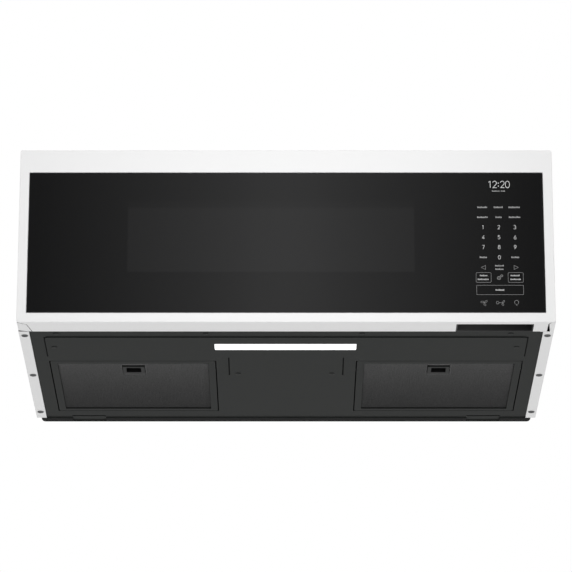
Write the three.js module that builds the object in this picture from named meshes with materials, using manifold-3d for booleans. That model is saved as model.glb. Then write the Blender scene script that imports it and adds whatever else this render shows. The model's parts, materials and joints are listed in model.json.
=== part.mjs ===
// Over the range microwave: full-width hinged glass door, white wrap, charcoal
// underside with two grease filters, task light, turntable oven and vent blower.
// Lengths are millimetres, +Z up. While modelling, X runs to the right, Y runs
// from the door's front face (0) to the wall, and Z runs up from the underside.
// The outer group then puts the origin at the centre of the wall face.
import * as THREE from 'three';
import { mergeVertices } from 'three/addons/utils/BufferGeometryUtils.js';
import Module from 'manifold-3d';

const wasm = await Module();
wasm.setup();

// ---- driving dimensions ---------------------------------------------------
const W = 760, H = 260.4, D = 465;          // overall width, height, depth
const HW = W / 2;
const DOOR_T = 41;                          // door thickness
const CASE_Y0 = 43.7, CASE_Y1 = 447.5;        // wrap, front to rear edge
const WALL = 1.2;                           // sheet thickness of the case
const FLANGE_Z = 0.4, FLANGE_W = 15;        // turned-in bottom flange of the wrap
const BASE_Z0 = 1.9, BASE_Z1 = 3.3;         // base plate
const PAN_Z = -0.1;                         // underside of the rear pan
const FRAME_Y0 = 44.0, FRAME_Y1 = 45.2;     // front frame sheet
const CAV = { x0: -289, x1: 245, y0: 45.5, y1: 411, z0: 78, z1: 238, t: 1.0 };
const TT = { x: -22, y: 228.5 };            // turntable centre
const GLASS = { x: 366, z0: 14.6, z1: 225.7, y0: 0.3, y1: 4.3 };
const WINDOW = { x0: -232, x1: 189, z0: 78, z1: 186 };
const PIVOT = { x: -374, y: 13.5, pinR: 2.5, boreR: 2.8, noseR: 6 };
const FILTER = { x: 223.3, w: 240, y0: 179.8, y1: 416, z0: 1.9, z1: 10.9,
                 mw: 219.6, my0: 191.4, my1: 406.8 };
const LATCH = { y0: 208.4, y1: 238.0 };      // filter latch, front to rear
const LATCH_TRAVEL = 5;                     // its travel, for clearances
const COVER = { x: 344.2, y0: 69.2, y1: 158.9, tabX: 82.2, tabY: 244.8, z0: 0.2, z1: 1.6 };
const GROOVE_W = 2.0, GROOVE_D = 1.0;       // pressed groove beside the cover's side edges
const LENS = { x0: -102.7, x1: 100.9, y0: 97.4, y1: 123.4 };
const BLOWER = { y: 425, z: 42, scrollR: 36, wheelR: 30, x0: 31, x1: 96 };
const DUCT = { x: 127, y0: 414.5, y1: 461.5 };
const OUTLET = { x: 124, y0: 360, y1: 440 };
const GRILLE = { x: 150, y0: 55, y1: 95 };
const FAN = { x: 316, z: 175, r: 40, y0: 425, y1: 445 };
const SHELF_Z = 77;
const GLAND = { x: 310, y: 405 };
const TRAY = { r: 160, z: 92.6 };
const ROLLER = { R: 99.5, r: 7, w: 8, bore: 2.3, axle: 2.0, z: 85.3 };
const POCKET = { x0: 240.4, x1: 350, y0: 9.5, z1: 26 };

// ---- shape helpers --------------------------------------------------------
const solid = (geometry) => {
  const g = geometry.clone();
  g.deleteAttribute('normal');
  g.deleteAttribute('uv');
  const m = mergeVertices(g, 1e-4);
  return new wasm.Manifold(new wasm.Mesh({
    numProp: 3,
    vertProperties: new Float32Array(m.attributes.position.array),
    triVerts: new Uint32Array(m.index.array),
  }));
};
const box = (x0, x1, y0, y1, z0, z1) => {
  const g = new THREE.BoxGeometry(x1 - x0, y1 - y0, z1 - z0);
  g.translate((x0 + x1) / 2, (y0 + y1) / 2, (z0 + z1) / 2);
  return solid(g);
};
const ALONG = {
  x: new THREE.Matrix4().makeBasis(new THREE.Vector3(0, 1, 0), new THREE.Vector3(0, 0, 1), new THREE.Vector3(1, 0, 0)),
  y: new THREE.Matrix4().makeBasis(new THREE.Vector3(1, 0, 0), new THREE.Vector3(0, 0, 1), new THREE.Vector3(0, -1, 0)),
  z: new THREE.Matrix4(),
};
// prism of a flat outline: axis 'x' takes (y,z) points, 'y' takes (x,z), 'z' takes (x,y)
const prism = (axis, points, a, b) => {
  const shape = new THREE.Shape(points.map((p) => new THREE.Vector2(p[0], p[1])));
  const g = new THREE.ExtrudeGeometry(shape, { depth: b - a, bevelEnabled: false, curveSegments: 6 });
  if (axis === 'x') { g.applyMatrix4(ALONG.x); g.translate(a, 0, 0); }
  if (axis === 'y') { g.applyMatrix4(ALONG.y); g.translate(0, b, 0); }
  if (axis === 'z') { g.translate(0, 0, a); }
  return solid(g);
};
const ring = (u, v, r, n) => Array.from({ length: n }, (_, i) => {
  const t = (i + 0.5) / n * Math.PI * 2;
  return [u + r * Math.cos(t), v + r * Math.sin(t)];
});
const rod = (axis, u, v, r, a, b, n = 12) => prism(axis, ring(u, v, r, n), a, b);
// rounded rectangle outline
const rounded = (u0, u1, v0, v1, r, n = 3) => {
  const out = [];
  const corners = [[u1 - r, v0 + r, -90], [u1 - r, v1 - r, 0], [u0 + r, v1 - r, 90], [u0 + r, v0 + r, 180]];
  for (const [cu, cv, a0] of corners) {
    for (let i = 0; i <= n; i += 1) {
      const t = (a0 + 90 * i / n) * Math.PI / 180;
      out.push([cu + r * Math.cos(t), cv + r * Math.sin(t)]);
    }
  }
  return out;
};
const lathe = (points, n) => {
  const g = new THREE.LatheGeometry(points.map((p) => new THREE.Vector2(p[0], p[1])), n);
  g.rotateX(Math.PI / 2);
  let s = solid(g);
  if (s.volume() < 0) {
    const idx = g.index.array;
    for (let i = 0; i < idx.length; i += 3) { const t = idx[i]; idx[i] = idx[i + 1]; idx[i + 1] = t; }
    s = solid(g);
  }
  return s;
};
const join = (...list) => list.reduce((a, b) => a.add(b));
const cut = (base, ...tools) => tools.reduce((a, b) => a.subtract(b), base);
const toGeometry = (s) => {
  const m = s.getMesh();
  const g = new THREE.BufferGeometry();
  g.setAttribute('position', new THREE.BufferAttribute(new Float32Array(m.vertProperties), 3));
  g.setIndex(new THREE.BufferAttribute(new Uint32Array(m.triVerts), 1));
  g.computeVertexNormals();
  return g;
};

// ---- finishes -------------------------------------------------------------
const finish = (color, roughness, metalness, extra = {}) =>
  new THREE.MeshStandardMaterial({ color, roughness, metalness, ...extra });
const FIN = {
  white: () => finish(0xf1f1f1, 0.35, 0.0),
  charcoal: () => finish(0x373a38, 0.5, 0.1),
  black: () => finish(0x1c1c1c, 0.45, 0.0),
  glass: () => finish(0x101010, 0.05, 0.0),
  clear: () => finish(0xdfe8e6, 0.05, 0.0, { transparent: true, opacity: 0.35 }),
  steel: () => finish(0xb9bcbd, 0.35, 0.8),
  zinc: () => finish(0xa9adae, 0.45, 0.8),
  enamel: () => finish(0xc9cac6, 0.4, 0.0),
  mica: () => finish(0xcbb98c, 0.6, 0.0),
  alu: () => finish(0x8c8f8f, 0.45, 0.8),
  lamp: () => finish(0xffffff, 0.4, 0.0),
  board: () => finish(0x1d5a35, 0.5, 0.0),
  copper: () => finish(0xa4552c, 0.4, 0.6),
  nylon: () => finish(0xe4e2da, 0.5, 0.0),
  darkScrew: () => finish(0x2b2c2c, 0.4, 0.6),
};

const model = new THREE.Group();
model.position.set(0, -D, -H / 2);
const add = (parent, name, s, material, position) => {
  const mesh = new THREE.Mesh(toGeometry(s), material);
  mesh.name = name;
  if (position) mesh.position.set(...position);
  parent.add(mesh);
  return mesh;
};
const chassis = new THREE.Group();
model.add(chassis);

// ---- fastener positions ---------------------------------------------------
const flangeScrews = [['left_front', -372, 59.6], ['left_middle', -372, 239.2], ['left_rear', -372.4, 417],
                      ['right_front', 372, 59.6], ['right_middle', 372, 239.2], ['right_rear', 372, 417]];
const frontScrews = [['1', -327.6, 56.5], ['2', -114.2, 56.5], ['3', 108.2, 56.5], ['4', 319.6, 56.5]];
const coverScrews = [['left', -333, 110.7], ['right', 331, 110.7], ['tab_left', -70.5, 232], ['tab_right', 67, 232]];
const HOLE = 2.2;
const hole = (x, y, z0, z1, r = HOLE) => rod('z', x, y, r, z0, z1, 8);

// ---- case -----------------------------------------------------------------
{ // painted wrap: top, two sides and the turned-in bottom flanges
  const r = 3, ri = r - WALL;
  const z0 = FLANGE_Z, xi = HW - FLANGE_W;
  const outer = [[-xi, z0], [-HW + 0.6, z0], [-HW, z0 + 0.6], [-HW, H - r], [-HW + r * 0.29, H - r * 0.29],
                 [-HW + r, H], [HW - r, H], [HW - r * 0.29, H - r * 0.29], [HW, H - r], [HW, z0 + 0.6],
                 [HW - 0.6, z0], [xi, z0]];
  const X = HW - WALL, Z = H - WALL, zf = z0 + WALL;
  const inner = [[xi, zf], [X - 0.4, zf], [X, zf + 0.4], [X, Z - ri], [X - ri * 0.29, Z - ri * 0.29], [X - ri, Z],
                 [-X + ri, Z], [-X + ri * 0.29, Z - ri * 0.29], [-X, Z - ri], [-X, zf + 0.4], [-X + 0.4, zf], [-xi, zf]];
  const lip = 1.2, o = OUTLET;
  const s = cut(join(prism('y', [...outer, ...inner], CASE_Y0, CASE_Y1),
    box(-o.x + 0.4, o.x - 0.4, o.y0 + 0.4, o.y1 - 0.4, Z - 3.4, Z + 0.5),
    rod('z', GLAND.x, GLAND.y, 14.4, Z - 1.9, Z + 0.5, 16),
    rod('z', -300, 120, 7.5, Z - 2, Z + 0.5, 12), rod('z', 300, 120, 7.5, Z - 2, Z + 0.5, 12)),
    box(-o.x + 0.4 + lip, o.x - 0.4 - lip, o.y0 + 0.4 + lip, o.y1 - 0.4 - lip, Z - 5, H + 5),
    box(-GRILLE.x, GRILLE.x, GRILLE.y0, GRILLE.y1, Z - 5, H + 5),
    rod('z', GLAND.x, GLAND.y, 13, Z - 5, H + 5, 16),
    hole(-300, 120, Z - 5, H + 5, 4), hole(300, 120, Z - 5, H + 5, 4),
    ...flangeScrews.map(([, x, y]) => hole(x, y, -1, 5)));
  add(chassis, 'outer_wrap', s, FIN.white());
}
{ // charcoal base plate with the filter openings, lamp and motor access
  const fx0 = FILTER.w / 2 + 1.6, c = COVER;
  const groove = (x, y0, y1) => [x, -x - GROOVE_W].map((a) => box(a, a + GROOVE_W, y0, y1, 0, BASE_Z0 + GROOVE_D));
  const s = cut(join(box(-378.4, 378.4, FRAME_Y0 + 0.2, CASE_Y1 + 0.2, BASE_Z0, BASE_Z1),
    box(-325, -275.2, 444, 461, BASE_Z0, BASE_Z1), box(275.2, 325, 444, 461, BASE_Z0, BASE_Z1)),
    box(-FILTER.x - fx0, -FILTER.x + fx0, FILTER.y0 - 1, FILTER.y1 + 1.2, 0, 9),
    box(FILTER.x - fx0, FILTER.x + fx0, FILTER.y0 - 1, FILTER.y1 + 1.2, 0, 9),
    box(-320, 320, 80, 147, 0, 9), box(-58, 56, 146, 238, 0, 9),
    box(-325.5, -274.7, 440, 444, 0, BASE_Z0 + GROOVE_D), box(274.7, 325.5, 440, 444, 0, BASE_Z0 + GROOVE_D),
    ...groove(c.x, c.y0 + 1, c.y1 - 1), ...groove(c.tabX, c.y1 + 2, c.tabY - 2),
    ...[...flangeScrews, ...frontScrews, ...coverScrews].map(([, x, y]) => hole(x, y, 0, 9)));
  add(chassis, 'base_plate', s, FIN.charcoal());
}
{ // rear pan against the wall, with two slots for the wall plate's hooks
  const s = cut(prism('y', rounded(-374, 374, PAN_Z, 258.8, 6), CASE_Y1 + 0.5, D),
    prism('y', rounded(-374 + WALL, 374 - WALL, PAN_Z + 2.4, 258.8 - WALL, 4.8), CASE_Y1 - 5, D - WALL),
    box(-325.5, -274.7, D - 8, D + 3, 6, 17), box(274.7, 325.5, D - 8, D + 3, 6, 17),
    box(-325.4, -274.8, 440, 461.4, -2, 5), box(274.8, 325.4, 440, 461.4, -2, 5));
  add(chassis, 'rear_panel', s, FIN.charcoal());
}
{ // front frame sheet that the door closes on
  const s = cut(join(prism('y', rounded(-378.4, 378.4, 3.6, 258.9, 2.4, 1), FRAME_Y0, FRAME_Y1),
                     box(-362, 362, FRAME_Y0, 64, 3.6, 4.8)),
    box(CAV.x0, CAV.x1, 0, 60, CAV.z0, CAV.z1),
    box(340, 354, 0, 60, 60, 82), box(340, 354, 0, 60, 178, 200),
    ...frontScrews.map(([, x, y]) => hole(x, y, 0, 9)));
  add(chassis, 'front_frame', s, FIN.white());
}
{ // oven liner with its front flange and welded waveguide channel
  const { x0, x1, y0, y1, z0, z1, t } = CAV;
  let s = join(box(x0 - t, x1 + t, y0, y1 + t, z0 - t, z1 + t),
               box(x0 - 18, x1 + 18, y0, y0 + t, z0 - 18, z1 + 16),
               box(x1, 288, 172, 268, 142, 208));
  s = cut(s, box(x0, x1, y0 - 5, y1, z0, z1), box(x1 - 2, 286.8, 180, 260, 150, 200),
    box(286, 290, 208, 232, 164, 186), rod('z', TT.x, TT.y, 5.5, z0 - 5, z0 + 5, 12));
  add(chassis, 'cavity_liner', s, FIN.enamel());
}
add(chassis, 'waveguide_cover', prism('x', rounded(174, 266, 144, 206, 6, 2), CAV.x1 - 1.1, CAV.x1 - 0.3), FIN.mica());

// ---- power and cooling in the bay -----------------------------------------
add(chassis, 'bay_shelf', join(box(CAV.x1 + 1.3, 378.2, 90, 444, SHELF_Z, SHELF_Z + 1.2),
  box(CAV.x1 + 1.3, CAV.x1 + 2.5, 90, 410, SHELF_Z, 90)), FIN.zinc());
{ // magnetron: yoke, fins, core and antenna
  let s = cut(box(288.4, 372, 178, 262, 146, 204), box(296, 368, 170, 270, 150, 200));
  const core = rod('x', 220, 175, 17, 290, 370, 12);
  s = join(s, core, rod('x', 220, 175, 9, 272, 292, 10));
  for (let i = 0; i < 7; i += 1) s = s.add(box(304 + i * 9, 305 + i * 9, 181, 259, 149, 201));
  add(chassis, 'magnetron', s, FIN.zinc());
}
{ // square fan housing with a spider and its motor
  const h = 46;
  let s = cut(box(FAN.x - h, FAN.x + h, FAN.y0, FAN.y1, FAN.z - h, FAN.z + h),
    rod('y', FAN.x, FAN.z, FAN.r + 2, FAN.y0 - 5, FAN.y1 - 1.6, 24));
  s = cut(s, cut(rod('y', FAN.x, FAN.z, FAN.r, FAN.y1 - 5, FAN.y1 + 5, 24), rod('y', FAN.x, FAN.z, 16, FAN.y1 - 6, FAN.y1 + 6, 12),
    box(FAN.x - 60, FAN.x + 60, FAN.y0, FAN.y1 + 9, FAN.z - 3, FAN.z + 3), box(FAN.x - 3, FAN.x + 3, FAN.y0, FAN.y1 + 9, FAN.z - 60, FAN.z + 60)));
  s = s.add(cut(rod('y', FAN.x, FAN.z, 15, FAN.y1 - 9, FAN.y1 - 1, 12), rod('y', FAN.x, FAN.z, 2.6, FAN.y1 - 12, FAN.y1 - 3, 8)));
  add(chassis, 'cooling_fan_housing', s, FIN.black());
}
{ // axial fan: hub, stub shaft and five pitched blades
  let s = join(rod('y', 0, 0, 11, 0, 9, 12), rod('y', 0, 0, 2.2, 8, 14, 8));
  for (let i = 0; i < 5; i += 1) {
    const g = new THREE.BoxGeometry(28, 1.4, 17);
    g.rotateX(0.6);
    g.translate(24, 4.0, 0);
    g.rotateY(i * Math.PI * 2 / 5);
    s = s.add(solid(g));
  }
  const fan = new THREE.Group();
  fan.position.set(FAN.x, FAN.y0 + 1.2, FAN.z);
  chassis.add(fan);
  add(fan, 'cooling_fan', s, FIN.black());
}
add(chassis, 'hv_transformer', join(box(266, 362, 95, 168, SHELF_Z + 1.6, 140), box(282, 346, 84, 179, 92, 128),
  box(262, 366, 92, 171, SHELF_Z + 1.6, 79)), FIN.copper());
add(chassis, 'hv_capacitor', join(prism('z', rounded(276, 330, 296, 330, 16), SHELF_Z + 1.6, 166),
  box(290, 292, 309, 317, 165, 176), box(314, 316, 309, 317, 165, 176)), FIN.zinc());

// ---- vent blower ----------------------------------------------------------
{ // twin scroll housing hung from one top plate
  const { y, z, scrollR, x0, x1 } = BLOWER, t = 1.2;
  const scroll = (a, b, r, in0, top) => join(rod('x', y, z, r, a, b, 24), box(a, b, DUCT.y0 + in0, DUCT.y1 - in0, z, top));
  const s = cut(join(scroll(-x1, -x0, scrollR, 0, 83), scroll(x0, x1, scrollR, 0, 83),
    box(-DUCT.x, DUCT.x, DUCT.y0, DUCT.y1, 82.4, 83.6)),
    scroll(-x1 + t, -x0 - t, scrollR - t, t, 90), scroll(x0 + t, x1 - t, scrollR - t, t, 90),
    rod('x', y, z, 22, -x1 - 5, -x0 + 5, 16), rod('x', y, z, 22, x0 - 5, x1 + 5, 16));
  add(chassis, 'blower_housing', s, FIN.zinc());
}
{ // exhaust duct: riser behind the oven and elbow under the top outlet
  const t = 1.2;
  const riser = (k, z0) => box(-DUCT.x + k, DUCT.x - k, DUCT.y0 + k, DUCT.y1 - k, z0, 250);
  const elbow = (k) => box(-DUCT.x + k, DUCT.x - k, OUTLET.y0 - 3 + k, DUCT.y1 - k, 240.4 + k, 257.2 - k);
  const s = cut(join(riser(0, 83.9), elbow(0)), riser(t, 80), elbow(t),
    box(-OUTLET.x, OUTLET.x, OUTLET.y0, OUTLET.y1, 250, 265));
  add(chassis, 'exhaust_duct', s, FIN.zinc());
}
add(chassis, 'blower_motor', cut(join(rod('x', BLOWER.y, BLOWER.z, 24, -27, 27, 16), box(-20, 20, 405, 445, BASE_Z1 + 0.4, 24)),
  rod('x', BLOWER.y, BLOWER.z, 4.4, -30, 30, 8)), FIN.zinc());
const rotor = new THREE.Group();
rotor.position.set(0, BLOWER.y, BLOWER.z);
chassis.add(rotor);
const wheel = (a, b, hubA, hubB, shaft) => {
  const R = BLOWER.wheelR, n = 14;
  const c = (a + b) / 2;
  const plate = rod('x', 0, 0, R, c - 1, c + 1, n);
  const rim = (u, v) => cut(rod('x', 0, 0, R, u, v, n), rod('x', 0, 0, R - 5, u - 1, v + 1, n));
  let s = join(plate, rim(a, a + 2), rim(b - 2, b), rod('x', 0, 0, 7, hubA, hubB, 10));
  for (let i = 0; i < n; i += 1) {
    const g = new THREE.BoxGeometry(b - a - 1, 1.2, 4.6);
    g.rotateX(0.5);
    g.translate(c, 0, R - 3.2);
    g.rotateX(i * Math.PI * 2 / n);
    s = s.add(solid(g));
  }
  return shaft ? s.add(shaft) : s.subtract(rod('x', 0, 0, 4.3, a - 30, b + 30, 8));
};
add(rotor, 'blower_wheel_left', wheel(-90, -37, -70, -57, rod('x', 0, 0, 4, -88, 88, 8)), FIN.zinc());
add(rotor, 'blower_wheel_right', wheel(37, 90, 57, 70, null), FIN.zinc());

// ---- turntable ------------------------------------------------------------
add(chassis, 'turntable_motor', cut(join(rod('z', TT.x, TT.y, 25, 62, 76.4, 20), box(TT.x - 34, TT.x + 34, TT.y - 7, TT.y + 7, 75, 76.4)),
  rod('z', TT.x, TT.y, 4.2, 66, 80, 8)), FIN.zinc());
const table = new THREE.Group();
table.position.set(TT.x, TT.y, 0);
chassis.add(table);
{ // glass tray with a raised rim and three drive lugs underneath
  const z = TRAY.z, r = TRAY.r;
  let s = lathe([[0, z], [r - 26, z], [r - 14, z + 1], [r - 3, z + 9], [r, z + 11.5], [r - 2, z + 12.5], [r - 6, z + 11.5],
                 [r - 16, z + 4.6], [r - 26, z + 3.8], [0, z + 3.8]], 40);
  for (let i = 0; i < 3; i += 1) {
    const t = (i + 0.5) * Math.PI * 2 / 3;
    s = s.add(rod('z', 16 * Math.cos(t), 16 * Math.sin(t), 3, z - 3.5, z + 1, 8));
  }
  add(table, 'glass_tray', s, FIN.clear());
}
{ // three-armed coupler on the motor's shaft
  let s = join(rod('z', 0, 0, 9, 84, 92.2, 12), rod('z', 0, 0, 3.6, 68, 85, 8));
  for (let i = 0; i < 3; i += 1) {
    const g = new THREE.BoxGeometry(22, 7, 5);
    g.translate(11, 0, 89.5);
    g.rotateZ(i * Math.PI * 2 / 3);
    s = s.add(solid(g));
  }
  add(table, 'drive_coupler', s, FIN.nylon());
}
{ // roller ring with its three stub axles
  const { R, w, axle, z } = ROLLER;
  let s = cut(rod('z', 0, 0, 93, z - 2.6, z + 2.6, 36), rod('z', 0, 0, 86, z - 9, z + 9, 36));
  const carriers = [];
  for (let i = 0; i < 3; i += 1) {
    const t = i * Math.PI * 2 / 3;
    const arm = join(rod('x', 0, z, axle, 90, R + w / 2 + 0.6, 8), rod('x', 0, z, axle + 1.2, R + w / 2 + 0.5, R + w / 2 + 2.5, 8));
    const g = toGeometry(arm);
    g.rotateZ(t);
    s = s.add(solid(g));
    const carrier = new THREE.Group();
    carrier.rotation.z = t;
    table.add(carrier);
    carriers.push(carrier);
  }
  add(table, 'roller_ring', s, FIN.nylon());
  carriers.forEach((carrier, i) => {
    const roller = cut(rod('x', 0, 0, ROLLER.r, -w / 2, w / 2, 20), rod('x', 0, 0, ROLLER.bore, -w, w, 8));
    add(carrier, `roller_${i + 1}`, roller, FIN.nylon(), [R, 0, z]);
  });
}

// ---- underside ------------------------------------------------------------
{ // T-shaped lamp and motor cover
  const c = COVER;
  const outline = [[-c.x + 3, c.y0], [c.x - 3, c.y0], [c.x, c.y0 + 3], [c.x, c.y1 - 3], [c.x - 3, c.y1], [c.tabX, c.y1],
                   [c.tabX, c.tabY - 3], [c.tabX - 3, c.tabY], [-c.tabX + 3, c.tabY], [-c.tabX, c.tabY - 3], [-c.tabX, c.y1],
                   [-c.x + 3, c.y1], [-c.x, c.y1 - 3], [-c.x, c.y0 + 3]];
  add(chassis, 'bottom_cover', cut(prism('z', outline, c.z0, c.z1), box(LENS.x0, LENS.x1, LENS.y0, LENS.y1, 0, 9),
    ...coverScrews.map(([, x, y]) => hole(x, y, 0, 9))), FIN.charcoal());
}
add(chassis, 'led_lens', join(prism('z', rounded(LENS.x0 + 0.4, LENS.x1 - 0.4, LENS.y0 + 0.4, LENS.y1 - 0.4, 0.4, 1), 0, 2.3),
  box(LENS.x0 - 5, LENS.x1 + 5, LENS.y0 - 4, LENS.y1 + 4, 1.9, 3.8)), FIN.lamp());
const latchHalf = 16;
for (const [side, sx] of [['left', -1], ['right', 1]]) {
  const f = FILTER, g = new THREE.Group();
  g.position.set(sx * f.x, 0, 0);
  chassis.add(g);
  const frame = cut(prism('z', rounded(-f.w / 2, f.w / 2, f.y0, f.y1, 2, 1), f.z0, f.z1),
    box(-f.mw / 2, f.mw / 2, f.my0, f.my1, 0, 20), box(-8, 8, f.y0 - 5, f.my0 + 5, 4.4, 7.8));
  add(g, `filter_frame_${side}`, frame, FIN.charcoal());
  const mesh = cut(box(-f.mw / 2 + 0.4, f.mw / 2 - 0.4, f.my0 + 0.4, f.my1 - 0.4, 4, 6.4),
    box(-latchHalf - 1, latchHalf + 1, f.my0 - 5, LATCH.y1 + LATCH_TRAVEL + 1, 0, 20))
    .add(box(-latchHalf - 2, latchHalf + 2, f.my0 + 0.4, 202.4, 3.5, 4.4));
  add(g, `filter_mesh_${side}`, mesh, FIN.alu());
  const latch = cut(join(box(-latchHalf, latchHalf, LATCH.y0, LATCH.y1, 2.4, 9.4), box(-7.5, 7.5, f.y0 + 0.3, LATCH.y0 + 4, 4.9, 7.4)),
    box(-10.6, 10.6, 212.5, 232.5, -2, 8));
  add(g, `filter_latch_${side}`, latch, FIN.black());
}
{ // louvred recirculation outlet above the oven
  let s = box(-158, 158, 50, 100, 257, 258.9);
  for (let i = 0; i < 15; i += 1) s = s.subtract(box(-145 + i * 19.6, -145 + i * 19.6 + 15.6, 58, 92, 250, 262));
  add(chassis, 'top_vent_grille', s, FIN.white());
}
add(chassis, 'cord_gland', cut(join(rod('z', GLAND.x, GLAND.y, 16, 253.5, 257, 16), rod('z', GLAND.x, GLAND.y, 12.6, 256, H - 0.1, 16)),
  rod('z', GLAND.x, GLAND.y, 7, 250, 265, 12)), FIN.black());

// ---- door catch and hinges ------------------------------------------------
add(chassis, 'latch_board', cut(join(box(336, 358, 45.6, 84, 54, 206)),
  box(341, 353, 40, 70, 58, 86), box(341, 353, 40, 70, 174, 202), box(330, 365, 52, 90, 92, 168)), FIN.nylon());
{
  const p = PIVOT, n = 10;
  const nose = [];
  for (let i = 0; i <= n; i += 1) {
    const t = (180 + 180 * i / n) * Math.PI / 180;
    nose.push([p.x + p.noseR * Math.cos(t), p.y + p.noseR * Math.sin(t)]);
  }
  const outline = [...nose, [-360.2, 41.2], [-360.2, 43.4], [-379.8, 43.4], [-379.8, 14]];
  const low = join(prism('z', outline, 2.0, 4.2), rod('z', p.x, p.y, p.pinR, 3.5, 18, 12), box(-379.4, -360.4, 42.3, 43.4, 2.1, 34));
  add(chassis, 'hinge_bracket_lower', low, FIN.darkScrew());
  const high = join(prism('z', outline, H - 4.0, H - 0.2), rod('z', p.x, p.y, p.pinR, H - 18, H - 3.5, 12), box(-379.4, -360.4, 42.3, 43.4, H - 34, H - 0.3));
  add(chassis, 'hinge_bracket_upper', high, FIN.darkScrew());
}
add(chassis, 'corner_cap_right', join(prism('z', [[379.8, 2.2], [373.8, 4.6], [371.4, 10.4], [374.2, 41.2], [374.2, 43.4], [379.8, 43.4]], 0.2, 4.0),
  box(360, 379.4, 42.3, 43.4, 0.3, 34)), FIN.white());

// ---- door -----------------------------------------------------------------
const door = new THREE.Group();
model.add(door);
const leftNotch = [[-381, 1.5], [-380, 1.5], [-366, 11], [-359, 42], [-381, 42]];
const leftSeam = [[-381, 1.3], [-380, 1.4], [-365.9, 11], [-359.5, 42], [-360.3, 42], [-366.6, 11.6], [-380, 2.4], [-381, 2.4]];
const leftWedge = [[-382, 35.4], [-365.6, 40.4], [-359, 40.6], [-359, 42], [-382, 42]];
const rightNotch = [[381, 1.3], [380, 1.3], [373, 3.8], [370, 9.8], [369.8, 42], [381, 42]];
{ // white frame: front border, glass ledge, side walls, hinge bosses
  const g = GLASS, T = DOOR_T, H1 = H;
  let s = prism('y', rounded(-HW, HW, 0, H1, 3), 0, T);
  s = cut(s, box(-g.x - 0.5, g.x + 0.5, -5, g.y1 + 0.3, g.z0 - 0.5, g.z1 + 0.5),
    box(-358, 358, -5, T + 5, 21, 219),
    box(-377.4, 377.4, 7, T + 5, 2.6, H1 - 2.6));
  s = join(s,
    box(-379.5, -356, 1, T, 0.5, 7), box(-379.5, -356, 1, T, H1 - 7, H1 - 0.5), box(366, 379.5, 1, T, 0.5, 7),
    box(-379, -365, 5, 23, 4, 24), box(-379, -365, 5, 23, H1 - 24, H1 - 4),
    box(POCKET.x0 - 2.5, POCKET.x1 + 2.5, 5, T, 1, 5));
  s = cut(s, prism('z', leftNotch, 1.6, 4.6), prism('z', leftSeam, -1, 0.8), prism('z', leftWedge, -1, 2),
    prism('z', leftNotch, H1 - 4.5, H1 + 1), prism('z', rightNotch, -1, 4.5),
    rod('z', PIVOT.x, PIVOT.y, PIVOT.boreR, 1.6, 20, 12), rod('z', PIVOT.x, PIVOT.y, PIVOT.boreR, H1 - 20, H1, 12),
    box(POCKET.x0, POCKET.x1, POCKET.y0, T + 5, -2, 12));
  add(door, 'door_frame', s, FIN.white());
}
add(door, 'door_glass', box(-GLASS.x, GLASS.x, GLASS.y0, GLASS.y1, GLASS.z0, GLASS.z1), FIN.glass());
{ // pressed inner panel with the window opening
  const s = cut(join(box(-374, 374, 39.6, 40.9, 9, 251.4), cut(box(-372, 372, 26, 40, 11, 249.4), box(-370.8, 370.8, 20, 50, 12.2, 248.2))),
    box(WINDOW.x0, WINDOW.x1, 30, 50, WINDOW.z0, WINDOW.z1),
    box(POCKET.x0 - 3.5, POCKET.x1 + 3.5, 0, 60, 0, POCKET.z1 + 3),
    box(341, 353, 30, 50, 62, 80), box(341, 353, 30, 50, 180, 198));
  add(door, 'door_inner_panel', s, FIN.steel());
}
add(door, 'door_screen', box(WINDOW.x0 - 6, WINDOW.x1 + 6, 38.4, 39.2, WINDOW.z0 - 6, WINDOW.z1 + 6), FIN.steel());
add(door, 'door_inner_pane', prism('y', rounded(WINDOW.x0 - 9, WINDOW.x1 + 9, WINDOW.z0 - 9, WINDOW.z1 + 9, 4, 2), 41.2, 42.4), FIN.clear());
add(door, 'control_board', join(box(262, 342, 9, 10.6, 32, 214), box(284, 324, 5, 9.5, 198, 213), box(268, 336, 5.4, 9.5, 36, 180)), FIN.board());
{
  const p = POCKET, k = 0.4;
  add(door, 'handle_pocket', cut(box(p.x0 + k, p.x1 - k, p.y0 + k, DOOR_T - 0.3, 0.3, p.z1),
    box(p.x0 + k + 1.6, p.x1 - k - 1.6, p.y0 + k + 1.6, DOOR_T - 2, -2, p.z1 - 1.6)), FIN.black());
}
{ // one sliding bar with the two door hooks
  const s = join(box(344, 350, 28, 34, 58, 204), box(345, 349, 33, 62, 67, 73), box(345, 349, 56, 62, 65, 68),
    box(345, 349, 33, 62, 185, 191), box(345, 349, 56, 62, 183, 186));
  add(door, 'door_latch', s, FIN.nylon());
}

// ---- screws ---------------------------------------------------------------
const screw = (z0, headR, tip) => join(rod('z', 0, 0, headR, z0, z0 + 1.1, 12), rod('z', 0, 0, 1.9, z0 + 1, tip, 8));
for (const [n, x, y] of flangeScrews) add(chassis, `wrap_screw_${n}`, screw(-1.0, 4.8, 8), FIN.darkScrew(), [x, y, 0]);
for (const [n, x, y] of frontScrews) add(chassis, `front_screw_${n}`, screw(0.5, 4.0, 9), FIN.darkScrew(), [x, y, 0]);
for (const [n, x, y] of coverScrews) add(chassis, `cover_screw_${n}`, screw(-1.2, 4.0, 7), FIN.darkScrew(), [x, y, 0]);

export default model;
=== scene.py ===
import json
import math
import bpy
import bmesh
from mathutils import Matrix, Vector

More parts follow.
